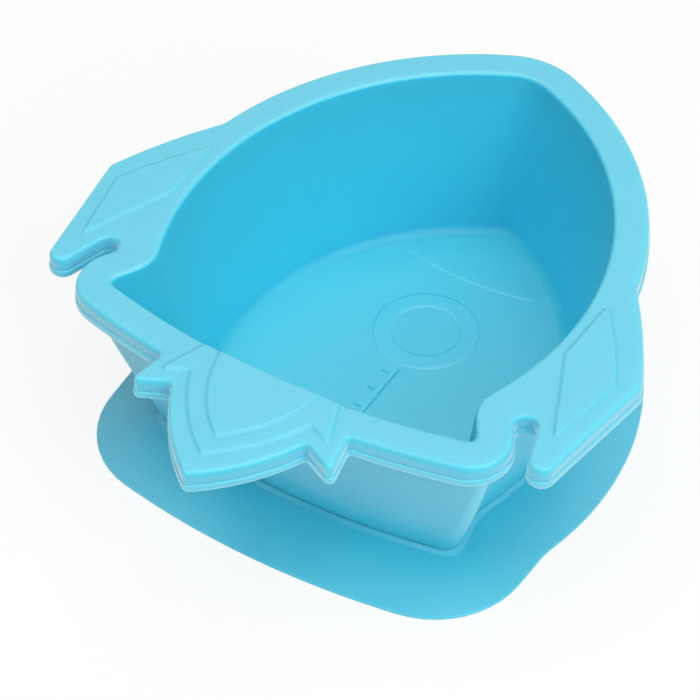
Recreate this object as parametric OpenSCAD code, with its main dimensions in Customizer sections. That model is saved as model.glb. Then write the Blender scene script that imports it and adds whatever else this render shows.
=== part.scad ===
// Suction bowl in the outline of a rocket: a moulded bowl bonded to a thin suction base.
// Millimetres. X runs across, Y from the flame to the nose, Z up from the table.

/* [Bowl] */
// Height of the rim top above the table
rim_h = 54; // [48:0.5:62]
// Half width of the mouth at its widest
mouth_half_w = 52.5; // [49:0.5:57]
// Radius of the two long side curves that meet at the nose
side_r = 80.7; // [76:0.1:88]
// Rounding of the nose at the mouth
nose_r = 13.5; // [8:0.5:20]
// Distance from the widest section back to the tail edge of the mouth
tail_len = 52.8; // [50:0.2:57]
// Radius of the shallow curve of the tail edge
tail_r = 202; // [150:1:300]
// Half width of the tail corners before rounding
tail_half_w = 51; // [49:0.25:53]
// Angle of the flare from the waist to the tail corners
flare_angle = 30; // [24:1:36]
// Half width of the tail corners at the floor level before leaning in
foot_half_w = 50.4; // [49:0.2:51.6]
// Extra half width of the outer wall at the tail corners under the rim
corner_gain = 3.4; // [1:0.2:5]
// How low the outer wall keeps that width, as a power
corner_hold = 4.5; // [1:0.5:8]
// Angle of the flare at the floor level
foot_flare = 8; // [4:1:14]
// Rounding of the waist at the mouth
waist_r = 9; // [6:0.5:12]
// Rounding of the tail corners at the mouth
corner_r = 3; // [2:0.25:5]
// Height of the floor inside the bowl above the table
floor_z = 5.5; // [5:0.1:7]
// Thickness of the floor
floor_t = 2; // [1.6:0.1:2.4]
// Thickness of the side wall
wall_t = 2.6; // [2:0.1:3.4]
// How far the wall leans in from the mouth down to the floor
wall_lean = 8.6; // [6:0.2:11]
// Fillet between floor and wall
floor_fillet = 2; // [1:0.25:4]
// Rounding of the nose at the floor
floor_nose_r = 4; // [3:0.5:8]
// Rounding of the foot of the bowl
foot_round = 0.8; // [0.4:0.1:1.2]

/* [Rim] */
// Width of the flat rim round the mouth
rim_w = 9; // [8:0.25:10]
// Thickness of the rim, the fins and the flame
rim_t = 6.4; // [5.4:0.1:7.4]
// Rounding of the upper and lower outer edges
rim_round = 1.2; // [0.6:0.1:1.4]
// Rounding of the inner edge of the mouth
lip_round = 1.4; // [0.8:0.1:2]
// Rounding of the nose on the outside of the rim
rim_nose_r = 22; // [16:1:30]

/* [Fins] */
// Place along the rim where the leading edge of a fin starts
fin_start = 17.8; // [12:0.2:22]
// Half width over both fins at their outer corners
fin_half_w = 75.4; // [73:0.1:78]
// Distance of the outer corners behind the widest section
fin_corner_back = 11; // [8:0.5:14]
// Bow of the leading edge
fin_bow = 0.9; // [0.2:0.1:1.6]
// Angle of the outer edge towards the tail
fin_taper = 9.7; // [7:0.1:13]
// Rounding of the outer corner
fin_corner_r = 3.5; // [2:0.25:5]
// Rounding where the leading edge runs into the rim
fin_root_r = 5; // [3:0.5:8]
// Rounding of the tail tip
fin_tip_r = 3.5; // [3:0.1:4.2]
// Width of the slot between a fin and the rim
slot_w = 4.4; // [3.4:0.1:5]
// Distance of the slot end behind the widest section
slot_back = 35.9; // [34:0.1:37.5]
// Angle of the inner edge of a fin along the slot
slot_angle = 17; // [13:1:21]
// Distance of the front corner of the fin panel in front of the widest section
panel_front = 7.5; // [5:0.25:10]
// Distance of the tail corner of the fin panel behind the widest section
panel_back = 36; // [33:0.25:38]
// Gap from the widest mouth to the front corner of the fin panel
panel_front_gap = 4; // [3:0.2:5]
// Gap from the widest mouth to the inner corner of the fin panel
panel_inner_gap = 2.6; // [2:0.2:3.6]
// Length of the inner side of the fin panel
panel_inner_len = 18.9; // [16:0.1:21]
// Distance of the outer panel corner from the fin corner, across
panel_outer_gap = 5.2; // [4.4:0.1:7]
// Distance of the outer panel corner from the fin corner, along
panel_outer_back = 3.4; // [2:0.1:5]
// Height of the raised panel on a fin
panel_h = 0.6; // [0.3:0.1:1.2]

/* [Flame] */
// Distance of the flame tip behind the widest section
flame_len = 89.1; // [85:0.2:94]
// Bow of the flame sides
flame_bow = 1.8; // [0.6:0.1:3]
// Half width of the flame at the notches
notch_half_w = 18.6; // [17:0.2:20]
// Distance of the notches behind the widest section
notch_back = 67; // [65:0.2:69]
// Half width over the two small side flames
side_flame_half_w = 28; // [26.4:0.1:30]
// Distance of the small flame tips behind the widest section
side_flame_back = 71.6; // [70:0.2:75]
// Half width of the flame where it leaves the rim
root_half_w = 25.8; // [24:0.2:27]
// Rounding of the flame tip
flame_tip_r = 1.8; // [1:0.1:2.6]
// Rounding of the small flame tips
side_tip_r = 1.6; // [1:0.1:1.8]
// Rounding of the notches
notch_r = 0.8; // [0.4:0.1:1.2]
// Distance from the flame tip to the tip of the raised layer
layer_tip_gap = 7.4; // [5:0.2:9]
// Distance of the layer's notches from the flame's, across
layer_notch_in = 2; // [1:0.2:3]
// Distance of the layer's notches from the flame's, along
layer_notch_gap = 5.8; // [4.4:0.2:7]
// Distance of the layer's small tips from the flame's, across
layer_side_in = 5.8; // [4.6:0.2:6.6]
// Distance of the layer's small tips from the flame's, along
layer_side_gap = 7.6; // [6:0.2:9]
// Half width of the layer at the mouth
layer_half_w = 18.8; // [17:0.2:20]
// Distance from the layer's tip to the leaf's tip
leaf_tip_gap = 6.4; // [4:0.2:8]
// Half width of the leaf at the mouth
leaf_half_w = 13.6; // [12:0.2:15]
// Gap from the mouth edge to the layers
layer_mouth_gap = 2.8; // [2.2:0.1:4]
// Height of each raised layer of the flame
layer_h = 0.7; // [0.3:0.1:1.2]

/* [Floor marks] */
// Distance of the window ring in front of the widest section
ring_y = 21.3; // [16:0.5:26]
// Outer radius of the window ring
ring_outer_r = 14; // [11.5:0.5:18]
// Inner radius of the window ring
ring_inner_r = 9.3; // [5:0.1:10]
// Height of the window ring and the nose cap above the floor
raised_h = 0.4; // [0.2:0.1:0.8]
// Distance of the edge of the nose cap in front of the widest section
nose_cap_y = 42.9; // [40:0.5:46]
// Radius of the edge of the nose cap
nose_cap_r = 78; // [60:1:120]
// Width of the engraved lines of the level scale
mark_w = 0.8; // [0.4:0.1:1.2]
// Depth of the engraved lines of the level scale
mark_d = 0.4; // [0.2:0.1:0.8]
// Front end of the level scale from the widest section
scale_front = 5.4; // [3:0.2:6.4]
// Length of the level scale
scale_len = 25.2; // [18:0.2:32]
// Distance of the first mark from the front end of the level scale
first_tick = 1.4; // [0.8:0.1:3]
// Distance between two marks of the level scale
tick_step = 7; // [5:0.5:8]
// Length of a mark of the level scale
tick_len = 3.6; // [2:0.2:6]

/* [Suction base] */
// Half width of the base at its widest
base_half_w = 65.1; // [63:0.1:68]
// Radius of the long side curves of the base
base_side_r = 85.4; // [81:0.1:90]
// Distance of the tail edge of the base behind the widest section
base_tail_len = 64.4; // [62:0.1:67]
// Radius of the tail edge of the base
base_tail_r = 223; // [180:1:300]
// Half width of the tail lobes before rounding
base_tail_half_w = 59.1; // [58:0.1:60.2]
// Angle of the side of the tail lobes, negative where they close towards the tail
base_flare = -3.8; // [-5:0.2:-2.6]
// Rounding of the tail lobes
base_corner_r = 25.2; // [21:0.2:28]
// Rounding of the waist of the base
base_waist_r = 28; // [20:1:36]
// Rounding of the nose of the base
base_nose_r = 24; // [16:1:30]
// Thickness of the base at its rim
base_edge_t = 1.3; // [1:0.1:1.7]
// Thickness of the base under the bowl
base_web_t = 1.5; // [1.2:0.1:1.9]
// Rounding of the thin edge of the base
base_edge_r = 0.5; // [0.2:0.05:0.6]
// Width of the slope from the edge up to the seat
slope_w = 14; // [12:0.5:16]
// Width of the slope inside the suction dome
dome_slope_w = 10; // [7:0.5:13]
// Width of the flat sealing land under the edge
land_w = 6; // [3:0.5:8]
// Thickness of the adhesive layer between bowl and base
bond_t = 0.2; // [0.1:0.05:0.3]
// Width of the adhesive kept back from the foot of the bowl
bond_margin = 2.5; // [1.5:0.25:5]
// Width of the locating lip round the foot of the bowl
lip_w = 0.9; // [0.7:0.1:1.6]
// Height of the locating lip above the seat
lip_h = 1.5; // [0.8:0.1:2.2]
// Clearance between the foot of the bowl and the locating lip
lip_gap = 0.2; // [0.15:0.05:0.4]

/* [Hidden] */

foot_z = floor_z - floor_t;
seat_z = foot_z - bond_t;
cavity_z = seat_z - base_web_t;
rim_z = rim_h - rim_t;
wall_depth = rim_h - floor_z;
side_cx = side_r - mouth_half_w;
nose_y = sqrt(pow(side_r + rim_w - rim_nose_r, 2) - pow(side_cx, 2)) + rim_nose_r;
y_shift = (flame_len - nose_y) / 2;

function unit(v) = v / norm(v);
function turn_to(a, b) = let (d = b - a) d > 180 ? d - 360 : d < -180 ? d + 360 : d;
function angle_of(v) = atan2(v[1], v[0]);
function arc(c, r, a0, a1, n) = [for (i = [0:n])
  let (a = a0 + (a1 - a0) * i / n) c + r * [cos(a), sin(a)]];
// Arc that rounds the corner q between p and s
function rounded(p, q, s, r, n) = let (
    u = unit(p - q),
    v = unit(s - q),
    half = acos(u * v) / 2,
    c = q + unit(u + v) * r / sin(half),
    a0 = angle_of(q + u * r / tan(half) - c),
    a1 = a0 + turn_to(a0, angle_of(q + v * r / tan(half) - c))
  ) arc(c, r, a0, a1, n);
// Points on a bowed line from p to q without its ends
function bowed(p, q, bow, n) = let (d = q - p, m = unit([d[1], -d[0]]))
  [for (i = [1:n - 1]) let (t = i / n) p + d * t + m * bow * 4 * t * (1 - t)];
function mirrored(h) = concat(h, [for (i = [len(h) - 2:-1:1]) [-h[i][0], h[i][1]]]);

// Values that fix the rocket outline moved in by a distance
function tail_part(len, tr, hw, ang, inset, rc) = let (
    n = [cos(ang), sin(ang)],
    d = [-sin(ang), cos(ang)],
    t0 = [0, tr - len],
    line = n * [hw, t0[1] - sqrt(tr * tr - hw * hw)] - inset,
    w = (line - rc) * n - t0,
    q = tr - inset - rc,
    c = (line - rc) * n + d * (-(w * d) - sqrt(pow(w * d, 2) - w * w + q * q))
  ) [t0, tr - inset, c, n, d, line];
function waist_centre(tp, s, rs, rn) = let (
    k = tp[5] + rn,
    w = k * tp[3] - s,
    q = rs + rn
  ) k * tp[3] + tp[4] * (-(w * tp[4]) - sqrt(pow(w * tp[4], 2) - w * w + q * q));

// Half of the outline, from the tail round the right side to the nose
function half_outline(hw, sr, nr, len, tr, thw, ang, rn, rc, inset) = let (
    tp = tail_part(len, tr, thw, ang, inset, rc),
    s = [hw - sr, 0],
    rs = sr - inset,
    cw = waist_centre(tp, s, rs, rn),
    yn = sqrt(pow(rs - nr, 2) - s[0] * s[0]),
    a_tail = angle_of(tp[2] - tp[0]),
    a_waist = angle_of(s - cw),
    a0 = angle_of(cw - s),
    a1 = angle_of([0, yn] - s)
  ) concat(
    arc(tp[0], tp[1], -90, a_tail, 4),
    arc(tp[2], rc, a_tail, ang, 5),
    arc(cw, rn, ang + 180, a_waist < 0 ? a_waist + 360 : a_waist, 4),
    [for (i = [1:15]) let (a = a0 + (a1 - a0) * i / 15) s + rs * [cos(a), sin(a)]],
    [for (i = [1:4]) let (a = a1 + (90 - a1) * i / 4) [i == 4 ? 0 : nr * cos(a), yn + nr * sin(a)]]
  );
function bowl_outline(inset, nr, z, gain = 0) = let (
    k = max(0, min(1, (rim_h - z) / wall_depth)),
    hw = tail_half_w + gain,
    drawn_in = gain > 0 ? pow(k, corner_hold) : k
  ) mirrored(half_outline(
    mouth_half_w, side_r, nr, tail_len, tail_r,
    hw + (foot_half_w - hw) * drawn_in, flare_angle + (foot_flare - flare_angle) * k,
    waist_r + max(0, inset), corner_r, inset));
function base_outline(inset) = mirrored(half_outline(
    base_half_w, base_side_r, base_nose_r - inset,
    base_tail_len, base_tail_r, base_tail_half_w, base_flare,
    base_waist_r + inset, base_corner_r - inset * 0.7, inset));

// Half of the rim with fin and flame, from the flame tip round to the nose
tail_out = tail_part(tail_len, tail_r, tail_half_w, flare_angle, -rim_w, corner_r + rim_w);
slot_end = let (k = tail_out[5] + slot_w / 2)
  [(k - tail_out[3][1] * (-slot_back)) / tail_out[3][0], -slot_back];
fin_in_n = [cos(slot_angle), sin(slot_angle)];
fin_out_n = [cos(-fin_taper), sin(-fin_taper)];
fin_in_k = fin_in_n * slot_end + slot_w / 2;
fin_out_k = fin_out_n * [fin_half_w, -fin_corner_back];
fin_tip = let (
    a = fin_in_k + fin_tip_r,
    b = fin_out_k - fin_tip_r,
    det = fin_in_n[0] * fin_out_n[1] - fin_in_n[1] * fin_out_n[0]
  ) [(a * fin_out_n[1] - b * fin_in_n[1]) / det, (fin_in_n[0] * b - fin_out_n[0] * a) / det];
fin_corner = [fin_half_w, -fin_corner_back];
rim_side_r = side_r + rim_w;
fin_root = [sqrt(pow(rim_side_r, 2) - fin_start * fin_start) - side_cx, fin_start];
flame_tip = [0, -flame_len];
notch = [notch_half_w, -notch_back];
side_tip = [side_flame_half_w, -side_flame_back];
flame_root = [root_half_w, tail_out[0][1] - sqrt(pow(tail_out[1], 2) - root_half_w * root_half_w)];
flame_side = bowed(flame_tip, notch, flame_bow, 7);
fin_lead = bowed(fin_corner, fin_root, fin_bow, 7);

rim_half = let (
    a_root = angle_of(flame_root - tail_out[0]),
    a_tail = angle_of(tail_out[2] - tail_out[0]),
    yn = nose_y - rim_nose_r,
    s = [-side_cx, 0],
    a_side = angle_of(fin_root - s),
    a_nose = angle_of([0, yn] - s),
    tip_arc = rounded([-flame_side[0][0], flame_side[0][1]], flame_tip, flame_side[0], flame_tip_r, 6)
  ) concat(
    [[0, tip_arc[3][1]], tip_arc[4], tip_arc[5], tip_arc[6]],
    [for (i = [1:5]) flame_side[i]],
    rounded(flame_side[5], notch, side_tip, notch_r, 3),
    rounded(notch, side_tip, flame_root, side_tip_r, 4),
    rounded(side_tip, flame_root, flame_root + [8, 0.8], notch_r, 3),
    [for (i = [1:3]) let (a = a_root + (a_tail - a_root) * (0.15 + 0.85 * i / 3))
      tail_out[0] + tail_out[1] * [cos(a), sin(a)]],
    [for (i = [1:7]) let (a = a_tail + (flare_angle - a_tail) * i / 7)
      tail_out[2] + (corner_r + rim_w) * [cos(a), sin(a)]],
    arc(slot_end, slot_w / 2, flare_angle + 180, slot_angle, 7),
    arc(fin_tip, fin_tip_r, slot_angle + 180, 360 - fin_taper, 7),
    rounded(fin_tip + fin_out_n * fin_tip_r, fin_corner, fin_lead[0], fin_corner_r, 4),
    [for (i = [1:4]) fin_lead[i]],
    rounded(fin_lead[4], fin_root, s + rim_side_r * [cos(a_side + 3), sin(a_side + 3)], fin_root_r, 3),
    [for (i = [1:10]) let (a = a_side + (a_nose - a_side) * (0.06 + 0.94 * i / 10))
      s + rim_side_r * [cos(a), sin(a)]],
    [for (i = [1:4]) let (a = a_nose + (90 - a_nose) * i / 4)
      [i == 4 ? 0 : rim_nose_r * cos(a), yn + rim_nose_r * sin(a)]]
  );
rim_outline = mirrored(rim_half);
// Outline moved in by a small distance
function moved_in(p, d) = let (n = len(p)) [for (i = [0:n - 1]) let (
    u = unit(p[i] - p[(i + n - 1) % n]),
    v = unit(p[(i + 1) % n] - p[i]),
    m = unit(u + v),
    k = d / max(0.5, m * u)
  ) p[i] + [-m[1], m[0]] * k];

// Solid through outlines that have the same number of points
module loft(outlines, heights) {
  n = len(outlines[0]);
  k = len(outlines);
  polyhedron(
    points = [for (j = [0:k - 1]) for (p = outlines[j]) [p[0], p[1], heights[j]]],
    faces = concat(
      [[for (i = [0:n - 1]) i]],
      [[for (i = [n - 1:-1:0]) (k - 1) * n + i]],
      [for (j = [0:k - 2]) for (i = [0:n - 1]) [j * n + i, (j + 1) * n + i, j * n + (i + 1) % n]],
      [for (j = [0:k - 2]) for (i = [0:n - 1])
        [j * n + (i + 1) % n, (j + 1) * n + i, (j + 1) * n + (i + 1) % n]]
    ),
    convexity = 8);
}

function lean(z) = wall_lean * (rim_h - z) / wall_depth;
function nose_at(z) = floor_nose_r + (nose_r - floor_nose_r) * max(0, z - floor_z) / wall_depth;

module cavity() {
  fillet = [for (a = [0:45:90]) [floor_fillet * (1 - sin(a)), floor_z + floor_fillet * (1 - cos(a))]];
  lip = [for (a = [0:45:90]) [-lip_round * (1 - cos(a)), rim_h - lip_round * (1 - sin(a))]];
  steps = concat(
    [for (f = fillet) [lean(f[1]) + f[0], nose_at(f[1]), f[1]]],
    [for (t = [0.33, 0.66]) let (z = floor_z + wall_depth * t) [lean(z), nose_at(z), z]],
    [for (l = lip) [lean(l[1]) + l[0], nose_r, l[1]]],
    [[-lip_round, nose_r, rim_h + 3 * layer_h]]
  );
  loft([for (s = steps) bowl_outline(s[0], s[1], s[2])], [for (s = steps) s[2]]);
}

module outer_wall() {
  foot = [for (a = [0:45:90]) [foot_round * (1 - sin(a)), foot_z + foot_round * (1 - cos(a))]];
  steps = concat(
    [for (f = foot) [lean(f[1]) + f[0] - wall_t, nose_at(f[1]) + wall_t, f[1]]],
    [for (t = [0.1, 0.22, 0.36, 0.6, 1]) let (z = foot_z + (rim_z - foot_z) * t)
      [lean(z) - wall_t, nose_at(z) + wall_t, z]],
    [let (z = rim_z + rim_t / 2) [lean(z) - wall_t, nose_at(z) + wall_t, z]]
  );
  loft([for (s = steps) bowl_outline(s[0], s[1], s[2], corner_gain)], [for (s = steps) s[2]]);
}

module rim_plate() {
  low = [for (a = [0:45:90]) [rim_round * (1 - sin(a)), rim_z + rim_round * (1 - cos(a))]];
  high = [for (a = [90:-45:0]) [rim_round * (1 - sin(a)), rim_h - rim_round * (1 - cos(a))]];
  steps = concat(low, high);
  loft([for (s = steps) moved_in(rim_outline, s[0])], [for (s = steps) s[1]]);
}

module raised(points, h) {
  translate([0, 0, rim_h - 0.4])
    linear_extrude(h + 0.4)
      polygon(points);
}

panel = let (
    front = [mouth_half_w + panel_front_gap, panel_front],
    inner = [mouth_half_w + panel_inner_gap, panel_front - panel_inner_len],
    tail = [fin_tip[0] - 0.2 * fin_tip_r, -panel_back],
    outer = fin_corner - [panel_outer_gap, panel_outer_back]
  ) concat(
    rounded(inner, tail, outer, 0.6, 3),
    rounded(tail, outer, front, 1, 3),
    bowed(outer, front, 0.5, 5),
    rounded(outer, front, inner, 0.6, 3),
    rounded(front, inner, tail, 1, 3)
  );

function tail_edge(x, out) = tail_out[0][1] - sqrt(pow(tail_r + out, 2) - x * x);
layer_tip = flame_tip + [0, layer_tip_gap];
layer_notch = notch + [-layer_notch_in, layer_notch_gap];
layer_side = side_tip + [-layer_side_in, layer_side_gap];
leaf_tip = layer_tip + [0, leaf_tip_gap];
leaf_end = [leaf_half_w, tail_edge(leaf_half_w, layer_mouth_gap)];
function mouth_side(hw) = [for (i = [6:-1:-6]) [hw * i / 6, tail_edge(hw * i / 6, layer_mouth_gap)]];
// Half an outline, the stretch along the mouth and the other half
function closed(half, hw) = concat(
    half, mouth_side(hw), [for (i = [len(half) - 1:-1:1]) [-half[i][0], half[i][1]]]);

module flame_layers() {
  half = concat(
    [layer_tip],
    bowed(layer_tip, layer_notch, flame_bow, 8),
    [layer_notch, layer_side]
  );
  leaf = concat([leaf_tip], bowed(leaf_tip, leaf_end, flame_bow * 1.4, 9));
  raised(closed(half, layer_half_w), layer_h);
  raised(closed(leaf, leaf_half_w), 2 * layer_h);
}

module window_ring() {
  translate([0, ring_y, floor_z - floor_t / 2])
    linear_extrude(floor_t / 2 + raised_h)
      difference() {
        circle(r = ring_outer_r, $fn = 48);
        circle(r = ring_inner_r, $fn = 48);
      }
}

// Raised nose of the floor, which runs out in the fillet along the wall
module nose_cap() {
  translate([0, 0, floor_z - floor_t / 2])
    linear_extrude(floor_t / 2 + raised_h)
      intersection() {
        polygon(bowl_outline(lean(floor_z) + floor_fillet / 2, floor_nose_r, floor_z));
        translate([0, nose_cap_y + nose_cap_r])
          circle(r = nose_cap_r, $fn = 96);
      }
}

module level_scale() {
  translate([-mark_w / 2, scale_front - scale_len, floor_z - mark_d])
    cube([mark_w, scale_len, 1]);
  for (y = [scale_front - first_tick:-tick_step:scale_front - scale_len + mark_w])
    translate([-tick_len, y - mark_w / 2, floor_z - mark_d])
      cube([tick_len, mark_w, 1]);
}

// A moulding is kept as one skin
module moulding() {
  resize([0, 0, 0])
    children();
}

module bowl_shell() {
  color([0.4, 0.8, 0.9])
    translate([0, y_shift, 0])
      moulding() {
        difference() {
          union() {
            rim_plate();
            outer_wall();
            raised(panel, panel_h);
            raised([for (i = [len(panel) - 1:-1:0]) [-panel[i][0], panel[i][1]]], panel_h);
            flame_layers();
          }
          cavity();
          level_scale();
        }
        window_ring();
        nose_cap();
      }
}

module bond_film() {
  color([0.85, 0.9, 0.9])
    translate([0, y_shift, seat_z])
      linear_extrude(bond_t)
        polygon(bowl_outline(lean(foot_z) - wall_t + foot_round + bond_margin, floor_nose_r, foot_z));
}

lip_in = lean(seat_z) - wall_t - lip_gap;
lip_out = lip_in - lip_w;

module base_body() {
  edge = [for (a = [0:45:180]) [base_edge_r * (1 - sin(a)), base_edge_t * (1 - cos(a)) / 2]];
  rise = seat_z - base_edge_t;
  slope = [for (t = [0.2:0.2:1]) [base_edge_r + slope_w * t, base_edge_t + rise * sin(90 * t)]];
  steps = concat(edge, slope);
  loft([for (s = steps) base_outline(s[0])], [for (s = steps) s[1]]);
}

module base_cavity() {
  slope = [for (t = [0:0.25:1]) [land_w + dome_slope_w * t, cavity_z * sin(90 * t)]];
  steps = concat([[land_w, -1]], slope);
  loft([for (s = steps) base_outline(s[0])], [for (s = steps) s[1]]);
}

module locating_lip() {
  difference() {
    loft(
      [bowl_outline(lip_out, floor_nose_r + wall_t + lip_w, seat_z),
        bowl_outline(lip_out, floor_nose_r + wall_t + lip_w, seat_z),
        bowl_outline(lip_out + lip_w * 0.25, floor_nose_r + wall_t + lip_w * 0.75, seat_z)],
      [cavity_z + 0.3, seat_z + lip_h * 0.7, seat_z + lip_h]);
    loft(
      [bowl_outline(lip_in, floor_nose_r + wall_t, seat_z),
        bowl_outline(lip_in, floor_nose_r + wall_t, seat_z),
        bowl_outline(lip_in - lip_w * 0.2, floor_nose_r + wall_t + lip_w * 0.2, seat_z)],
      [seat_z, seat_z + lip_h * 0.7, seat_z + lip_h + 0.01]);
  }
}

module suction_base() {
  color([0.3, 0.7, 0.8])
    translate([0, y_shift, 0])
      moulding() difference() {
        union() {
          base_body();
          locating_lip();
        }
        base_cavity();
      }
}

bowl_shell();
bond_film();
suction_base();
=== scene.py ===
from math import acos, asin, atan2, cos, pi, radians, sin, sqrt, tan

import bmesh
import bpy
from bpy.props import FloatProperty, FloatVectorProperty, IntProperty, PointerProperty
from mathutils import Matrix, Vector


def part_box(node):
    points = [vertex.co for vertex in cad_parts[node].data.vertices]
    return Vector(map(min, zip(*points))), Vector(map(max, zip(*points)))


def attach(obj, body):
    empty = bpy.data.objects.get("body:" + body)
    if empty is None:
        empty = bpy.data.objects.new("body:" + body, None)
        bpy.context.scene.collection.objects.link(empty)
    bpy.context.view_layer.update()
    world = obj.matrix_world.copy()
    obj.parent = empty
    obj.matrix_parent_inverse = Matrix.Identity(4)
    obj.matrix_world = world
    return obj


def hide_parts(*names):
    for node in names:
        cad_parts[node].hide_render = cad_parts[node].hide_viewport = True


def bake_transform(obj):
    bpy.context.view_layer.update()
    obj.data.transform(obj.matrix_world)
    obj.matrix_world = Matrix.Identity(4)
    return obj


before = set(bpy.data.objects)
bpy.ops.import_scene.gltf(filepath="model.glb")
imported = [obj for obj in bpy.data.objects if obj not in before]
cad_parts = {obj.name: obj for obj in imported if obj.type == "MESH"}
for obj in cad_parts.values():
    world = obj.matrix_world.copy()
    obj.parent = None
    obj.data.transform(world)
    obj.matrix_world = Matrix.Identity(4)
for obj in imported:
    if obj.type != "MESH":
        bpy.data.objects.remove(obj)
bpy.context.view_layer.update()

bl_info = {
    "name": "Rocket suction bowl",
    "version": (1, 0, 0),
    "blender": (4, 5, 0),
    "location": "View3D > Sidebar > Suction bowl",
    "description": "Moulds a rocket-shaped silicone bowl and its suction base, and sets up a studio stage",
    "category": "Add Mesh",
}

MM = 0.001
PREFIX = "suctionbowl_"
BOWL_LOW, BOWL_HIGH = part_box("bowl_shell")
BASE_HALF_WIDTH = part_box("suction_base")[1].x / MM

# Points closer together than this are one point.
NEAR = 0.002 * MM
# Least cosine of half a corner when an outline is moved in.
SHARPEST = 0.5
# Segments of half a rocket outline.
TAIL_STEPS, CORNER_STEPS, WAIST_STEPS, SIDE_STEPS, NOSE_STEPS = 24, 10, 12, 48, 12
# Segments of half the flame's tip, the window ring and the nose cap's edge.
TIP_STEPS, CIRCLE_STEPS, CAP_STEPS = 6, 96, 48
# Rings of the cup's inside and outside, a soft step, the nose cap's fall and a small rounding.
INNER_RINGS, OUTER_RINGS, STEP_RINGS, FALL_RINGS, SMALL_RINGS = 14, 20, 6, 8, 4
# Rings of the base: dome, thin edge, slope and bead.
DOME_RINGS, EDGE_RINGS, SLOPE_RINGS, BEAD_RINGS = 10, 8, 24, 8
# Shares of the tail edge and of the long side that the roundings take up.
ROOT_ROOM, FIN_ROOM = 0.15, 0.06
# Share of a moved outline that the radius of the base's lobes loses.
LOBE_LOSS = 0.7
# Rounding of a raised corner to its step, and bow of the leaf to the flame's.
SOFT_CORNER, LEAF_BOW = 0.6, 1.4
# Places of the points on the straight sides of the flame's layer.
LAYER_STOPS = (0.4, 0.7)
# How much the nose cap narrows as it falls, and the share of its edge over which each end fades.
CAP_NARROWING, CAP_FADE = 0.9, 0.125
# Colour sockets of a Mix node: the two inputs and the output.
MIX_A, MIX_B, MIXED = 6, 7, 2
WHITE = (1, 1, 1, 1)
# Place in metres and width of each softbox.
SOFTBOXES = {
    "overhead": ((0.05, 0.05, 1.3), 1.3),
    "high_front": ((-0.1, -0.75, 1.4), 0.6),
    "right": ((1.1, -0.4, 0.9), 0.8),
    "front": ((0.2, -1.3, 0.9), 0.9),
    "left": ((-0.9, -0.6, 1.1), 0.9),
}
# Width of the table in metres, and how far it lies below the land of the base.
TABLE_WIDTH, TABLE_DROP = 6, 0.02 * MM


def named(group):
    """Gives each property of a group its name: the words of its key."""
    for key, prop in group.__annotations__.items():
        prop.keywords["name"] = key.replace("_", " ").capitalize()
    return group


def mm(text, millimetres):
    """A length."""
    return FloatProperty(description=text, default=millimetres * MM, unit="LENGTH", precision=5)


def turn(text, degrees):
    """An angle."""
    return FloatProperty(description=text, default=radians(degrees), subtype="ANGLE")


def share(text, value):
    """A share of one."""
    return FloatProperty(description=text, default=value, subtype="FACTOR", min=0, max=1)


def power(watts):
    """The power of a softbox."""
    return FloatProperty(description="Power of this softbox", default=watts, unit="POWER")


def to_linear(code):
    """Linear red, green, blue of an sRGB hex colour."""
    parts = [int(code[i:i + 2], 16) / 255 for i in (1, 3, 5)]
    return [p / 12.92 if p <= 0.04045 else ((p + 0.055) / 1.055) ** 2.4 for p in parts]


def colour(text, code):
    """A colour swatch."""
    return FloatVectorProperty(description=text, default=to_linear(code), subtype="COLOR", min=0, max=1)


@named
class CupSizes(bpy.types.PropertyGroup):
    """Sizes of the cup: wall, floor and mouth. The belly is its widest section"""
    rim_height: mm("Rim top above the table", 54)
    half_width: mm("Half width of the mouth at its widest", 52.5)
    side_radius: mm("Radius of the long sides", 80.7)
    nose_radius: mm("Rounding of the nose at the mouth", 13.5)
    floor_nose_radius: mm("Rounding of the nose at the floor", 4)
    tail_length: mm("Belly to the mouth's tail edge", 52.8)
    tail_radius: mm("Radius of the shallow tail edge", 202)
    tail_half_width: mm("Half width of the tail corners", 51)
    flare: turn("Angle of the sides at the tail", 30)
    foot_half_width: mm("Half width of the tail corners at the floor", 50.4)
    foot_flare: turn("Angle of the flare at the floor", 8)
    corner_gain: mm("Outer wall's extra half width at the tail", 3.9)
    corner_hold: FloatProperty(description="How low that width is kept, as a power", default=2.6)
    wall_corner_radius: mm("Outer wall's tail corners under the rim", 2)
    corner_soft: mm("Extra rounding of those corners at the foot", 2)
    tail_gain: mm("How far out the outer wall stands at the tail under the rim", 3.5)
    tail_draw: mm("How far in the outer wall stands at the tail at the foot", 1.5)
    waist_radius: mm("Rounding of the waist at the mouth", 9)
    corner_radius: mm("Rounding of the mouth's tail corners", 1.8)
    floor_height: mm("Floor inside the bowl above the table", 5.5)
    wall: mm("Thickness of the side wall", 2.6)
    lean: mm("How far the wall leans in", 8.6)
    floor_fillet: mm("Fillet between floor and wall", 2.4)
    foot_round: mm("Rounding of the foot of the bowl", 0.8)
    lip_round: mm("Rounding of the mouth's inner edge", 0.9)
    round_steps: IntProperty(description="Segments of a quarter rounding", default=6)


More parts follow.
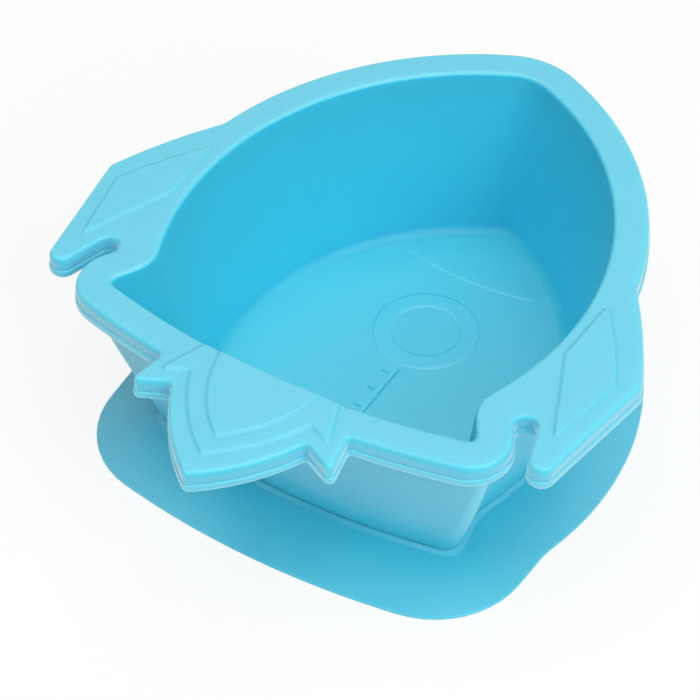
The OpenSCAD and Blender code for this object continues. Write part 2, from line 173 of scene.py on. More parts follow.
@named
class RimSizes(bpy.types.PropertyGroup):
    """Sizes of the flat rim, its fins and the flame"""
    width: mm("Width of the flat rim round the mouth", 9)
    thickness: mm("Thickness of rim, fins and flame", 6.4)
    edge_in: mm("Width of the upper edge's rounding", 0.9)
    edge_down: mm("Height of the upper edge's rounding", 1.8)
    low_round: mm("Rounding of the lower rim edge", 1.3)
    parting: mm("Mould's parting line below the rim top", 3.9)
    ledge: mm("How far the lower mould half stands proud", 0.3)
    undercut: mm("How far the upper mould half draws in", 0.12)
    under_fillet: mm("Fillet between the wall and the rim's underside", 1)
    nose_radius: mm("Rounding of the rim's nose", 22)
    corner_radius: mm("Rounding of the rim's tail corners", 10.8)
    fin_half_width: mm("Half width over both fins", 75.35)
    fin_start: mm("Leading edge's start before the belly", 17.8)
    fin_corner_back: mm("Outer fin corner behind the belly", 11)
    fin_bow: mm("Bow of a fin's leading edge", 0.9)
    fin_taper: turn("Angle of a fin's outer edge", 9.7)
    fin_corner_radius: mm("Rounding of the outer fin corner", 3.5)
    fin_tip_radius: mm("Rounding of a fin's tail tip", 3.5)
    fin_root_radius: mm("Rounding of a fin's root", 5)
    slot_width: mm("Width of the slot between fin and rim", 4.4)
    slot_back: mm("Slot end behind the belly", 35.9)
    slot_angle: turn("Angle of a fin's inner edge", 17)
    flame_length: mm("Flame tip behind the belly", 89.1)
    flame_bow: mm("Bow of the flame's sides", 1.8)
    flame_tip_radius: mm("Rounding of the flame tip", 2)
    notch_half_width: mm("Half width of the flame at the notches", 18.6)
    notch_back: mm("Notches behind the belly", 67)
    notch_radius: mm("Rounding of the notches", 0.8)
    side_half_width: mm("Half width over the two small flames", 28)
    side_back: mm("Small flame tips behind the belly", 71.6)
    side_tip_radius: mm("Rounding of the small flame tips", 1.6)
    root_half_width: mm("Half width of the flame at the rim", 25.8)


@named
class ReliefSizes(bpy.types.PropertyGroup):
    """Sizes of the raised panels, the flame layers and the floor marks"""
    panel_height: mm("Height of the raised panel on a fin", 0.5)
    layer_height: mm("Height of each flame layer", 0.55)
    step_width: mm("Width of the soft steps", 1.2)
    panel_front: mm("Panel's front corner before the belly", 9)
    panel_back: mm("Panel's tail corner behind the belly", 37.1)
    panel_front_gap: mm("Widest mouth to the front corner, across", 3.65)
    panel_inner_gap: mm("Widest mouth to the inner corner, across", 2.6)
    panel_inner_length: mm("Length of the panel's inner side", 20.4)
    panel_tail_in: mm("Fin tip's centre to the tail corner, across", 0.7)
    panel_outer_gap: mm("Fin corner to the outer corner, across", 5.2)
    panel_outer_back: mm("Fin corner to the outer corner, along", 3.4)
    panel_acute: mm("Rounding of the front and tail corners", 0.15)
    panel_blunt: mm("Rounding of the inner and outer corners", 0.7)
    panel_bow: mm("Bow of the panel's leading edge", 0.5)
    layer_tip_gap: mm("Flame tip to the layer's tip", 7.4)
    layer_notch_in: mm("Flame's notches to the layer's, across", 2)
    layer_notch_gap: mm("Flame's notches to the layer's, along", 5.8)
    layer_side_in: mm("Flame's small tips to the layer's, across", 4.8)
    layer_side_gap: mm("Flame's small tips to the layer's, along", 6.85)
    layer_half_width: mm("Half width of the layer at the mouth", 18.8)
    leaf_tip_gap: mm("Layer's tip to the leaf's tip", 5.9)
    leaf_half_width: mm("Half width of the leaf at the mouth", 13.6)
    ring_place: mm("Window ring before the belly", 21.3)
    ring_outer: mm("Outer radius of the window ring", 14)
    ring_inner: mm("Inner radius of the window ring", 9.3)
    ring_height: mm("Window ring above the floor", 0.28)
    cap_height: mm("Edge of the nose cap above the floor", 0.2)
    cap_place: mm("Edge of the nose cap before the belly", 42.9)
    cap_half: mm("Half width of the nose cap's edge", 23.4)
    cap_radius: mm("Radius of the nose cap's edge", 78)
    cap_length: mm("Length of the cap's fall", 12)
    mark_width: mm("Width of the engraved lines", 0.9)
    mark_depth: mm("Depth of the engraved lines", 0.6)
    scale_aside: mm("Level scale from the middle", 1.1)
    scale_front: mm("Front end of the level scale", 5.4)
    scale_length: mm("Length of the level scale", 25.2)
    first_tick: mm("Front end of the scale to its first mark", 2.5)
    tick_step: mm("Distance between two marks", 7)
    tick_gap: mm("Scale's line to its marks", 1.2)
    tick_length: mm("Length of a mark", 2.4)


@named
class BaseSizes(bpy.types.PropertyGroup):
    """Sizes of the suction base"""
    half_width: mm("Half width of the base at its widest", BASE_HALF_WIDTH)
    side_radius: mm("Radius of the long sides", 85.4)
    tail_length: mm("Tail edge behind the belly", 64.4)
    tail_radius: mm("Radius of the tail edge", 223)
    tail_half_width: mm("Half width of the tail lobes", 59.1)
    flare: turn("Angle of the side of the tail lobes", -3.8)
    corner_radius: mm("Rounding of the tail lobes", 25.2)
    waist_radius: mm("Rounding of the waist", 28)
    nose_radius: mm("Rounding of the nose", 24)
    edge: mm("Thickness at the very edge", 0.9)
    edge_round: mm("Rounding of the thin edge", 0.45)
    web: mm("Thickness under the bowl", 1.5)
    bond: mm("Thickness of the adhesive", 0.2)
    land: mm("Width of the sealing land", 6)
    dome_slope: mm("Width of the suction dome's slope", 10)
    slope_rise: mm("Top of the slope above the seat", 0.4)
    bead_reach: mm("Reach of the soft bead from the bowl's foot", 1.9)
    bead_height: mm("Height of the bead above the slope", 0.7)
    bead_bite: mm("How deep the bead is bonded into the wall", 0.3)


@named
class SiliconeLook(bpy.types.PropertyGroup):
    """Colours and finish of the two mouldings, with their painted light and shade"""
    bowl: colour("Colour of the bowl silicone", "#3ECBE3")
    bowl_deep: colour("Deeper tint in the bowl's mottling", "#3BC7DF")
    base: colour("Colour of the base silicone", "#3ECBE3")
    base_deep: colour("Deeper tint in the base's mottling", "#3BC7DF")
    bowl_depth: mm("How far light spreads inside the bowl", 4)
    base_depth: mm("How far light spreads inside the base", 0.8)
    top_matt: share("Bloom on the rim's flat top", 0.15)
    # Painted light: this bloom lightens the upper rim edge as light from the front would.
    edge_matt: share("Bloom on the upper rim edge", 1.0)
    wall_matt: share("Bloom on the outer wall", 0.51)
    # Painted shade: the base's bloom fades to none towards the bowl, so the base beside the bowl renders
    # darker.
    base_matt: share("Bloom at the edge of the base", 0.22)
    floor_dull: share("Lost shine of the floor and the base", 0.35)
    edge_dull: share("Lost shine of the upper rim edge", 0.4)
    step_dull: share("Lost shine halfway up a raised step", 0.45)
    # Painted shade: over this height the wall loses its bloom and shine towards the foot, so its lower part
    # renders darker.
    foot_fade: mm("Height over which the wall's bloom fades", 16)
    mottle: mm("Size of the faint clouds", 14)
    grain: mm("Size of the mould's fine grain", 0.7)


@named
class StageLook(bpy.types.PropertyGroup):
    """Camera and light of the stage"""
    azimuth: turn("Camera direction round the bowl", 31.321)
    elevation: turn("Camera height above the table", 45.284)
    distance: mm("Camera to the point looked at", 636.725)
    look_x: mm("Point that the camera looks at", -16.352)
    look_y: mm("Point that the camera looks at", 12.3)
    lens: FloatProperty(description="Focal length on a 36 mm sensor", default=123.43, unit="CAMERA")
    overhead: power(9.3)
    high_front: power(2.6)
    right: power(10.4)
    front: power(0.1)
    left: power(1.1)
    fill: share("Strength of the light from all round", 0.2)


def sizes(*names):
    """The groups with these names, as the scene holds them."""
    groups = [getattr(bpy.context.scene, PREFIX + name) for name in names]
    return groups if len(groups) > 1 else groups[0]


def clamped(t):
    """A number held between 0 and 1."""
    return max(0, min(1, t))


def eased(t):
    """A soft step from 0 to 1, as half a cosine wave."""
    return (1 - cos(pi * t)) / 2


def smooth(t):
    """A fade from 0 to 1 that starts and ends level."""
    return t * t * (3 - 2 * t)


def shares(count):
    """Even places from 0 to 1, both included."""
    return [i / count for i in range(count + 1)]


def quarter(count):
    """Angles of a quarter turn."""
    return [pi / 2 * t for t in shares(count)]


EVEN_STOPS = shares(TAIL_STEPS)[:-1]


def belly():
    """Y of the belly, the widest section, worked out from the nose of the rim."""
    cup, rim = sizes("cup", "rim")
    across = cup.side_radius - cup.half_width
    along = cup.side_radius + rim.width - rim.nose_radius
    return BOWL_HIGH.y - rim.nose_radius - sqrt(along ** 2 - across ** 2)


def xy(x, y):
    """A point of a flat outline."""
    return Vector((x, y))


def at(angle):
    """Unit vector at an angle from the X axis."""
    return xy(cos(angle), sin(angle))


def angle_of(v):
    """Angle of a vector from the X axis."""
    return atan2(v.y, v.x)


def arc(centre, radius, start, end, count):
    """Points along an arc, both ends included."""
    return [centre + radius * at(start + (end - start) * t) for t in shares(count)]


def rounded(before, corner, after, radius, count):
    """Arc that rounds the corner between two neighbours."""
    u = (before - corner).normalized()
    v = (after - corner).normalized()
    half = acos(max(-1, min(1, u.dot(v)))) / 2
    centre = corner + (u + v).normalized() * radius / sin(half)
    start = angle_of(corner + u * radius / tan(half) - centre)
    end = angle_of(corner + v * radius / tan(half) - centre)
    sweep = (end - start + pi) % (2 * pi) - pi
    return arc(centre, radius, start, start + sweep, count)


def bowed(start, end, bow, count):
    """Points on a bowed line without its ends."""
    d = end - start
    side = xy(d.y, -d.x).normalized()
    return [start + d * t + side * bow * 4 * t * (1 - t) for t in shares(count)[1:-1]]


def on_circle(start, along, centre, radius, side=-1):
    """Where a line meets a circle. Side is -1 for the first crossing and 1 for the second."""
    w = start - centre
    return start + along * (side * sqrt(w.dot(along) ** 2 - w.dot(w) + radius ** 2) - w.dot(along))


def flipped(points):
    """Points mirrored to the other side, in reverse order."""
    return [xy(-p.x, p.y) for p in reversed(points)]


def mirrored(half):
    """A whole outline from its right half, whose ends are set on the middle line."""
    half[0].x = half[-1].x = 0
    return half + flipped(half[1:-1])


def moved_in(points, distance, closed=True):
    """An outline that runs anticlockwise, moved in by a small distance."""
    moved = []
    for i, p in enumerate(points):
        before = p - points[i - 1]
        after = points[(i + 1) % len(points)] - p
        if not closed and i == 0:
            before = after
        if not closed and i == len(points) - 1:
            after = before
        u = before.normalized()
        m = (u + after.normalized()).normalized()
        moved.append(p + xy(-m.y, m.x) * distance / max(SHARPEST, m.dot(u)))
    return moved


def shrunk(corners, distance):
    """Corners of a polygon that runs anticlockwise, with its sides moved in."""
    moved = []
    for before, corner, after in zip(corners[-1:] + corners, corners, corners[1:] + corners[:1]):
        u, v = (corner - before).normalized(), (after - corner).normalized()
        moved.append(corner + xy(-u.y - v.y, u.x + v.x) * distance / (1 + u.dot(v)))
    return moved


class Rocket:
    """The rocket outline: a shallow tail, two rounded corners, a waist, two long sides and a nose."""

    def __init__(self, group, nose, half_width, flare, waist, corner, draw=0):
        self.tail_centre = xy(0, group.tail_radius - group.tail_length + draw)
        self.tail_radius = group.tail_radius
        self.side_centre = xy(group.half_width - group.side_radius, 0)
        self.side_radius = group.side_radius
        self.nose, self.half_width, self.flare = nose, half_width, flare
        self.waist, self.corner = waist, corner

    def corner_centre(self, inset):
        """Centre of the tail corner, and the flare's normal, direction and distance."""
        normal, along = at(self.flare), at(self.flare + pi / 2)
        edge_y = self.tail_centre.y - sqrt(self.tail_radius ** 2 - self.half_width ** 2)
        line = normal.dot(xy(self.half_width, edge_y)) - inset
        radius = self.tail_radius - inset - self.corner
        centre = on_circle((line - self.corner) * normal, along, self.tail_centre, radius)
        return centre, normal, along, line

    def outline(self, inset, stops):
        """The outline moved in by a distance. Stops are the places of the tail's points, from 0 to 1."""
        corner, normal, along, line = self.corner_centre(inset)
        radius = self.side_radius - inset
        waist = on_circle((line + self.waist) * normal, along, self.side_centre, radius + self.waist)
        nose = xy(0, sqrt((radius - self.nose) ** 2 - self.side_centre.x ** 2))
        sweep = angle_of(corner - self.tail_centre) + pi / 2
        waist_end = angle_of(self.side_centre - waist) % (2 * pi)
        side = angle_of(waist - self.side_centre)
        nose_start = angle_of(nose - self.side_centre)
        half = [self.tail_centre + (self.tail_radius - inset) * at(sweep * t - pi / 2) for t in stops]
        half += arc(corner, self.corner, sweep - pi / 2, self.flare, CORNER_STEPS)
        half += arc(waist, self.waist, self.flare + pi, waist_end, WAIST_STEPS)
        half += arc(self.side_centre, radius, side, nose_start, SIDE_STEPS)[1:]
        half += arc(nose, self.nose, nose_start, pi / 2, NOSE_STEPS)[1:]
        return mirrored(half)


def depth_at(height):
    """How far down the cup a height is: 0 at the rim and 1 at the floor."""
    cup = sizes("cup")
    return (cup.rim_height - height) / (cup.rim_height - cup.floor_height)


def lean_at(height):
    """How far the wall leans in at a height."""
    return sizes("cup").lean * depth_at(height)


def nose_at(height):
    """Rounding of the nose at a height."""
    cup = sizes("cup")
    return cup.floor_nose_radius + (cup.nose_radius - cup.floor_nose_radius) * max(0, 1 - depth_at(height))


def cup_rocket(height, nose, inset=0, outside=False):
    """The cup's outline at a height, before it is moved in, for its inside or its outside."""
    cup = sizes("cup")
    k = clamped(depth_at(height))
    half = cup.tail_half_width + (cup.corner_gain if outside else 0)
    drawn_in = k ** cup.corner_hold if outside else k
    corner = cup.wall_corner_radius + cup.corner_soft * k if outside else cup.corner_radius
    draw = cup.tail_draw * k - cup.tail_gain * (1 - k) if outside else 0
    half += (cup.foot_half_width - half) * drawn_in
    flare = cup.flare + (cup.foot_flare - cup.flare) * k
    return Rocket(cup, nose, half, flare, cup.waist_radius + max(0, inset), corner, draw)


def cup_outline(height, inset, nose, stops):
    """The inside of the cup at a height, moved in."""
    return cup_rocket(height, nose, inset).outline(inset, stops)


def wall_outline(height, out):
    """The outside of the cup at a height, moved out."""
    out += sizes("cup").wall
    inset = lean_at(height) - out
    return cup_rocket(height, nose_at(height) + out, inset, outside=True).outline(inset, EVEN_STOPS)


def base_outline(inset):
    """The edge of the base, moved in."""
    base = sizes("base")
    rocket = Rocket(base, base.nose_radius - inset, base.tail_half_width, base.flare,
                    base.waist_radius + inset, base.corner_radius - LOBE_LOSS * inset)
    return rocket.outline(inset, EVEN_STOPS)


def placed(points, height):
    """Flat outline points as places in the frame. Height is one number or one for each point."""
    heights = height if isinstance(height, list) else [height] * len(points)
    shift = belly()
    return [Vector((p.x, p.y + shift, z)) for p, z in zip(points, heights)]


def select(*pieces):
    """Selects just these pieces and makes the first one active."""
    bpy.ops.object.select_all(action="DESELECT")
    for piece in pieces:
        piece.select_set(True)
    bpy.context.view_layer.objects.active = pieces[0]


def edit_edges():
    """Edit mode, with edges to select."""
    bpy.ops.object.mode_set(mode="EDIT")
    bpy.context.tool_settings.mesh_select_mode = (False, True, False)


def start_ring(name, places, closed=True):
    """A circle with one vertex for each place, left open in edit mode with its edges selected."""
    bpy.ops.object.select_all(action="DESELECT")
    bpy.ops.mesh.primitive_circle_add(vertices=len(places), radius=MM)
    piece = bpy.context.object
    piece.name = piece.data.name = name
    station = piece.data.attributes.new("station", "INT", "POINT")
    for i, place in enumerate(places):
        piece.data.vertices[i].co = place
        station.data[i].value = i
    piece.location = (0, 0, 0)
    edit_edges()
    if not closed:
        ends = {0, len(places) - 1}
        mesh = bmesh.from_edit_mesh(piece.data)
        for edge in mesh.edges:
            edge.select_set({v.index for v in edge.verts} == ends)
        bpy.ops.mesh.delete(type="EDGE")
    bpy.ops.mesh.select_all(action="SELECT")
    return piece


def next_ring(piece, places):
    """Extrudes the selected ring and sets the new one on its places."""
    bpy.ops.mesh.extrude_edges_move()
    mesh = bmesh.from_edit_mesh(piece.data)
    station = mesh.verts.layers.int["station"]
    for v in mesh.verts:
        if v.select:
            v.co = places[v[station]]
    bmesh.update_edit_mesh(piece.data)


def skin(name, rings, closed=True):
    """A skin drawn ring by ring. Rings are lists of places."""
    piece = start_ring(name, rings[0], closed)
    for ring in rings[1:]:
        next_ring(piece, ring)
    bpy.ops.object.mode_set(mode="OBJECT")
    return piece


def note(piece, **finishes):
    """Notes shares of a finish at each point of a skin, from the height of the point."""
    for name, share_at in finishes.items():
        values = piece.data.attributes.new(name, "FLOAT", "POINT").data
        for vertex in piece.data.vertices:
            values[vertex.index].value = share_at(vertex.co.z)
    return piece


def joined(name, pieces):
    """Joins pieces and welds the rings that lie on each other."""
    select(*pieces)
    bpy.ops.object.join()
    whole = bpy.context.object
    whole.name = whole.data.name = name
    edit_edges()
    bpy.ops.mesh.select_all(action="SELECT")
    bpy.ops.mesh.remove_doubles(threshold=NEAR)
    return whole


def fill_level(piece, height):
    """Fills what is open at one height, with the outlines inside it left as holes."""
    bpy.ops.mesh.select_all(action="DESELECT")
    mesh = bmesh.from_edit_mesh(piece.data)
    found = 0
    for edge in mesh.edges:
        if edge.is_boundary and all(abs(v.co.z - height) < NEAR for v in edge.verts):
            edge.select_set(True)
            found += 1
    bmesh.update_edit_mesh(piece.data)
    if not found:
        raise RuntimeError(f"{piece.name} has nothing to fill at {height / MM:.2f} mm")
    bpy.ops.mesh.fill(use_beauty=True)


def finish_skin(piece):
    """Turns the faces outwards, shades them smooth and makes sure that the skin is closed."""
    bpy.ops.mesh.select_all(action="SELECT")
    bpy.ops.mesh.normals_make_consistent(inside=False)
    bpy.ops.object.mode_set(mode="OBJECT")
    piece.data.attributes.remove(piece.data.attributes["station"])
    select(piece)
    bpy.ops.object.shade_smooth()
    flat_first = piece.modifiers.new("flat faces first", "WEIGHTED_NORMAL")
    flat_first.weight = 100
    bpy.ops.object.modifier_apply(modifier=flat_first.name)
    mesh = bmesh.new()
    mesh.from_mesh(piece.data)
    open_edges = sum(1 for edge in mesh.edges if not edge.is_manifold)
    mesh.free()
    if open_edges:
        raise RuntimeError(f"{piece.name} has {open_edges} open edges")


def clad(piece, material):
    """Gives a piece its one material."""
    piece.data.materials.clear()
    piece.data.materials.append(material)


def mouth_tail():
    """Centre and radius of the tail edge of the rounded mouth."""
    cup = sizes("cup")
    return xy(0, cup.tail_radius - cup.tail_length), cup.tail_radius + cup.lip_round


class Rise:
    """A raised shape on the flame that runs out at the mouth: its soft step as lines side by side."""

    def __init__(self, path, low, high):
        self.low, self.high = low, high
        self.lines = []
        for t in shares(STEP_RINGS):
            points = moved_in(path, sizes("relief").step_width * (t - 1 / 2), closed=False)
            first = self.ended(points[0], points[1])
            last = self.ended(points[-1], points[-2])
            self.lines.append(([first, *points[1:-1], last], low + (high - low) * eased(t)))

    @staticmethod
    def ended(end, inner):
        """The end of a line, moved along it to the mouth edge."""
        along = (end - inner).normalized()
        crossings = [on_circle(inner, along, *mouth_tail(), side) for side in (-1, 1)]
        return min(crossings, key=lambda p: (p - end).length)

    def reach(self):
        """Half widths at the mouth, from the foot of the step to its top."""
        return [abs(points[0].x) for points, height in self.lines]

    def height_at(self, x):
        """Height on the mouth edge at a distance from the middle, or 0 outside the shape."""
        reach = self.reach()
        if abs(x) >= reach[0] + NEAR:
            return 0
        if abs(x) <= reach[-1]:
            return self.high
        i = min(range(len(reach)), key=lambda k: abs(reach[k] - abs(x)))
        return self.lines[i][1]


def flame_rises():
    """The layer and the leaf on top of the flame."""
    cup, rim, relief = sizes("cup", "rim", "relief")
    centre, radius = mouth_tail()

    def on_mouth(x):
        return xy(x, centre.y - sqrt(radius ** 2 - x * x))

    tip = xy(0, relief.layer_tip_gap - rim.flame_length)
    notch = xy(rim.notch_half_width - relief.layer_notch_in, relief.layer_notch_gap - rim.notch_back)
    side = xy(rim.side_half_width - relief.layer_side_in, relief.layer_side_gap - rim.side_back)
    end = on_mouth(relief.layer_half_width)
    bow = bowed(tip, notch, rim.flame_bow, count=14)
    soft = SOFT_CORNER * relief.step_width
    layer = bow[1:-1] + rounded(bow[-2], notch, side, soft, count=5)
    layer += rounded(notch, side, end, soft, count=6) + [side.lerp(end, t) for t in LAYER_STOPS] + [end]
    leaf_tip = tip + xy(0, relief.leaf_tip_gap)
    leaf_end = on_mouth(relief.leaf_half_width)
    leaf = bowed(leaf_tip, leaf_end, LEAF_BOW * rim.flame_bow, count=18)[1:] + [leaf_end]
    rises = []
    low = cup.rim_height
    for half, point in ((layer, tip), (leaf, leaf_tip)):
        other = flipped(half)
        path = other + rounded(other[-1], point, half[0], soft, count=6) + half
        rises.append(Rise(path, low, low + relief.layer_height))
        low += relief.layer_height
    return rises


def mouth_stops(rises):
    """Places of the tail's points on the mouth, with one at each end of the rises' lines."""
    cup = sizes("cup")
    centre, radius = mouth_tail()
    corner = cup_rocket(cup.rim_height, cup.nose_radius).corner_centre(-cup.lip_round)[0]
    sweep = angle_of(corner - centre) + pi / 2
    ends = [asin(x / radius) / sweep for rise in rises for x in rise.reach()]
    room = 1 / (4 * TAIL_STEPS)
    return sorted(ends + [t for t in EVEN_STOPS if all(abs(t - end) > room for end in ends)])


def lifted(points, rises):
    """Heights of the mouth's points: the rim top, lifted where a rise runs out."""
    top = sizes("cup").rim_height
    return [max(top, *(rise.height_at(p.x) for rise in rises)) if p.y < 0 else top for p in points]


def cup_skin(rises):
    """The inside of the cup, from the edge of the floor up to the rounded mouth."""
    cup, look = sizes("cup", "silicone")
    stops = mouth_stops(rises)
    low, high = cup.floor_height + cup.floor_fillet, cup.rim_height - cup.lip_round
    profile = [(cup.floor_height + cup.floor_fillet * (1 - cos(a)), cup.floor_fillet * (1 - sin(a)))
               for a in quarter(cup.round_steps)]
    profile += [(low + (high - low) * t, 0) for t in shares(INNER_RINGS)[1:-1]]
    rings = [placed(cup_outline(z, lean_at(z) + inwards, nose_at(z), stops), z) for z, inwards in profile]
    top = cup_outline(cup.rim_height, -cup.lip_round, cup.nose_radius, stops)
    gains = [height - cup.rim_height for height in lifted(top, rises)]
    for a in quarter(cup.round_steps):
        z = high + cup.lip_round * sin(a)
        inset = lean_at(high) * (1 - sin(a)) - cup.lip_round * (1 - cos(a))
        outline = cup_outline(cup.rim_height if a > 0 else high, inset, nose_at(z), stops)
        rings.append(placed(outline, [z + gain * sin(a) for gain in gains]))

    def lip(z):
        return clamped((z - high) / cup.lip_round)

    return note(skin("cup", rings), matt=lambda z: look.top_matt * lip(z),
                dull=lambda z: look.floor_dull if z < cup.floor_height + NEAR else 1 - lip(z))


def wall_skin():
    """The outside of the cup, from the underside of the rim down to the foot, with painted shade at the
    foot.
    """
    cup, rim, look = sizes("cup", "rim", "silicone")
    under, foot = cup.rim_height - rim.thickness, BOWL_LOW.z
    high, low = under - rim.under_fillet, foot + cup.foot_round
    profile = [(under - rim.under_fillet * (1 - cos(a)), rim.under_fillet * (1 - sin(a)))
               for a in quarter(cup.round_steps)]
    profile += [(high + (low - high) * t, 0) for t in shares(OUTER_RINGS)[1:-1]]
    profile += [(low - cup.foot_round * sin(a), cup.foot_round * (cos(a) - 1)) for a in quarter(SMALL_RINGS)]

    # Painted shade: bloom and shine fade out towards the foot, darkening the lower wall.
    def fade(z):
        return smooth(clamped((z - foot) / look.foot_fade))

    wall = skin("wall", [placed(wall_outline(z, out), z) for z, out in profile])
    return note(wall, matt=lambda z: look.wall_matt * fade(z), dull=lambda z: 1 - fade(z))


def rim_outline():
    """The outline of the rim with its fins and the flame, and a fin's outer corner and tip."""
    cup, rim = sizes("cup", "rim")
    tail = Rocket(cup, cup.nose_radius, cup.tail_half_width, cup.flare, cup.waist_radius, rim.corner_radius)
    corner, normal, along, line = tail.corner_centre(-rim.width)
    tail_centre, side_centre = tail.tail_centre, tail.side_centre
    tail_radius, side_radius = cup.tail_radius + rim.width, cup.side_radius + rim.width
    slot_half = rim.slot_width / 2
    slot = xy((line + slot_half + normal.y * rim.slot_back) / normal.x, -rim.slot_back)
    fin_corner = xy(rim.fin_half_width, -rim.fin_corner_back)
    inner, outer = at(rim.slot_angle), at(-rim.fin_taper)
    a = inner.dot(slot) + slot_half + rim.fin_tip_radius
    b = outer.dot(fin_corner) - rim.fin_tip_radius
    fin_tip = xy(a * outer.y - b * inner.y, inner.x * b - outer.x * a) / inner.cross(outer)
    fin_root = xy(sqrt(side_radius ** 2 - rim.fin_start ** 2) + side_centre.x, rim.fin_start)
    flame_tip = xy(0, -rim.flame_length)
    notch = xy(rim.notch_half_width, -rim.notch_back)
    side_tip = xy(rim.side_half_width, -rim.side_back)
    root = xy(rim.root_half_width, tail_centre.y - sqrt(tail_radius ** 2 - rim.root_half_width ** 2))
    nose = xy(0, sqrt((side_radius - rim.nose_radius) ** 2 - side_centre.x ** 2))
    root_angle, tail_end = angle_of(root - tail_centre), angle_of(corner - tail_centre)
    fin_angle, nose_angle = angle_of(fin_root - side_centre), angle_of(nose - side_centre)
    tail_start = root_angle + ROOT_ROOM * (tail_end - root_angle)
    side_start = fin_angle + FIN_ROOM * (nose_angle - fin_angle)
    on_tail = tail_centre + tail_radius * at(tail_start)
    on_side = side_centre + side_radius * at(side_start)
    flame_side = bowed(flame_tip, notch, rim.flame_bow, count=18)
    fin_lead = bowed(fin_corner, fin_root, rim.fin_bow, count=14)
    other_side = flipped(flame_side[:1])[0]
    tip = rounded(other_side, flame_tip, flame_side[0], rim.flame_tip_radius, count=2 * TIP_STEPS)
    # Two points at each end of a bowed line make room for the roundings.
    half = tip[TIP_STEPS:] + flame_side[2:-2]
    half += rounded(flame_side[-3], notch, side_tip, rim.notch_radius, count=6)
    half += rounded(notch, side_tip, root, rim.side_tip_radius, count=10)
    half += rounded(side_tip, root, on_tail, rim.notch_radius, count=6)
    half += arc(tail_centre, tail_radius, tail_start, tail_end, count=8)[:-1]
    half += arc(corner, rim.corner_radius, tail_end, cup.flare, count=18)
    half += arc(slot, slot_half, cup.flare + pi, rim.slot_angle, count=16)
    half += arc(fin_tip, rim.fin_tip_radius, rim.slot_angle + pi, 2 * pi - rim.fin_taper, count=18)
    fin_side = fin_tip + outer * rim.fin_tip_radius
    half += rounded(fin_side, fin_corner, fin_lead[0], rim.fin_corner_radius, count=10)
    half += fin_lead[2:-2]
    half += rounded(fin_lead[-3], fin_root, on_side, rim.fin_root_radius, count=8)
    half += arc(side_centre, side_radius, side_start, nose_angle, count=36)
    half += arc(nose, rim.nose_radius, nose_angle, pi / 2, NOSE_STEPS)[1:]
    return mirrored(half), fin_corner, fin_tip


def rim_edge_skin(outline):
    """The edge of the rim: the upper rounding, the small ledge at the parting line and the lower one."""
    cup, rim, look = sizes("cup", "rim", "silicone")
    top, under = cup.rim_height, cup.rim_height - rim.thickness
    split = top - rim.parting
    profile = [(rim.ledge + rim.edge_in * (1 - sin(a)), top - rim.edge_down * (1 - cos(a)))
               for a in quarter(2 * cup.round_steps)]
    profile += [(rim.ledge + rim.undercut, split + rim.undercut), (rim.ledge + rim.undercut, split)]
    profile += [(rim.ledge * (1 - sin(a)), split - rim.ledge * (1 - cos(a))) for a in quarter(SMALL_RINGS)]
    profile += [(rim.low_round * (1 - cos(a)), under + rim.low_round * (1 - sin(a)))
                for a in quarter(cup.round_steps)]

    # Full bloom below the parting line; on the upper rounding the bloom grows downwards, painted light that
    # lightens the edge.
    def bloom(z):
        if z < split + NEAR:
            return 1
        return look.top_matt + (look.edge_matt - look.top_matt) * sqrt(clamped((top - z) / rim.edge_down))

    edge = skin("rim", [placed(moved_in(outline, inset), z) for inset, z in profile])
    return note(edge, matt=bloom, dull=lambda z: look.edge_dull if split < z < top - NEAR else 0)


def step_finish(piece, low, high):
    """Notes the finish of the rim's top on a soft step, with less shine halfway up."""
    look = sizes("silicone")
    return note(piece, matt=lambda z: look.top_matt,
                dull=lambda z: look.step_dull * sin(pi * clamped((z - low) / (high - low))))


def panel_skin(side, fin_corner, fin_tip):
    """The soft step of a raised fin panel. Side is 1 on the right and -1 on the left."""
    cup, relief = sizes("cup", "relief")
    acute, blunt = relief.panel_acute, relief.panel_blunt
    low, high = cup.rim_height, cup.rim_height + relief.panel_height
    front = xy(cup.half_width + relief.panel_front_gap, relief.panel_front)
    inner = xy(cup.half_width + relief.panel_inner_gap, relief.panel_front - relief.panel_inner_length)
    tail = xy(fin_tip.x - relief.panel_tail_in, -relief.panel_back)
    outer = fin_corner - xy(relief.panel_outer_gap, relief.panel_outer_back)
    tail, outer, front, inner = shrunk([tail, outer, front, inner], relief.step_width / 2)
    outline = rounded(inner, tail, outer, acute, count=6) + rounded(tail, outer, front, blunt, count=6)
    outline += bowed(outer, front, relief.panel_bow, count=8)
    outline += rounded(outer, front, inner, acute, count=6) + rounded(front, inner, tail, blunt, count=6)
    if side < 0:
        outline = flipped(outline)
    rings = [placed(moved_in(outline, relief.step_width * (t - 1)), low + (high - low) * eased(t))
             for t in shares(STEP_RINGS)]
    return step_finish(skin("panel", rings), low, high)


def floor_finish(piece):
    """Notes the finish of the floor on a piece of it."""
    dull = sizes("silicone").floor_dull
    return note(piece, dull=lambda z: dull)


def groove(outline):
    """An engraved line: its outline sunk into the floor with soft sides."""
    cup, relief = sizes("cup", "relief")
    half = relief.mark_width / 2
    # Shares of half the width inwards and of the depth.
    profile = [(0, 0), (0.12, 0.12), (0.38, 0.7), (0.62, 1)]
    rings = [placed(moved_in(outline, inwards * half), cup.floor_height - down * relief.mark_depth)
             for inwards, down in profile]
    return floor_finish(skin("mark", rings))


def window_ring():
    """The raised ring on the floor, with soft edges."""
    cup, relief = sizes("cup", "relief")
    centre = xy(0, relief.ring_place)
    edge = [(relief.step_width * (t - 1 / 2), eased(t)) for t in shares(STEP_RINGS)]
    profile = [(relief.ring_outer - inwards, up) for inwards, up in edge]
    profile += [(relief.ring_inner + inwards, up) for inwards, up in reversed(edge)]
    rings = []
    for radius, up in profile:
        circle = arc(centre, radius, 0, 2 * pi, CIRCLE_STEPS)[:-1]
        rings.append(placed(circle, cup.floor_height + up * relief.ring_height))
    return floor_finish(skin("ring", rings))


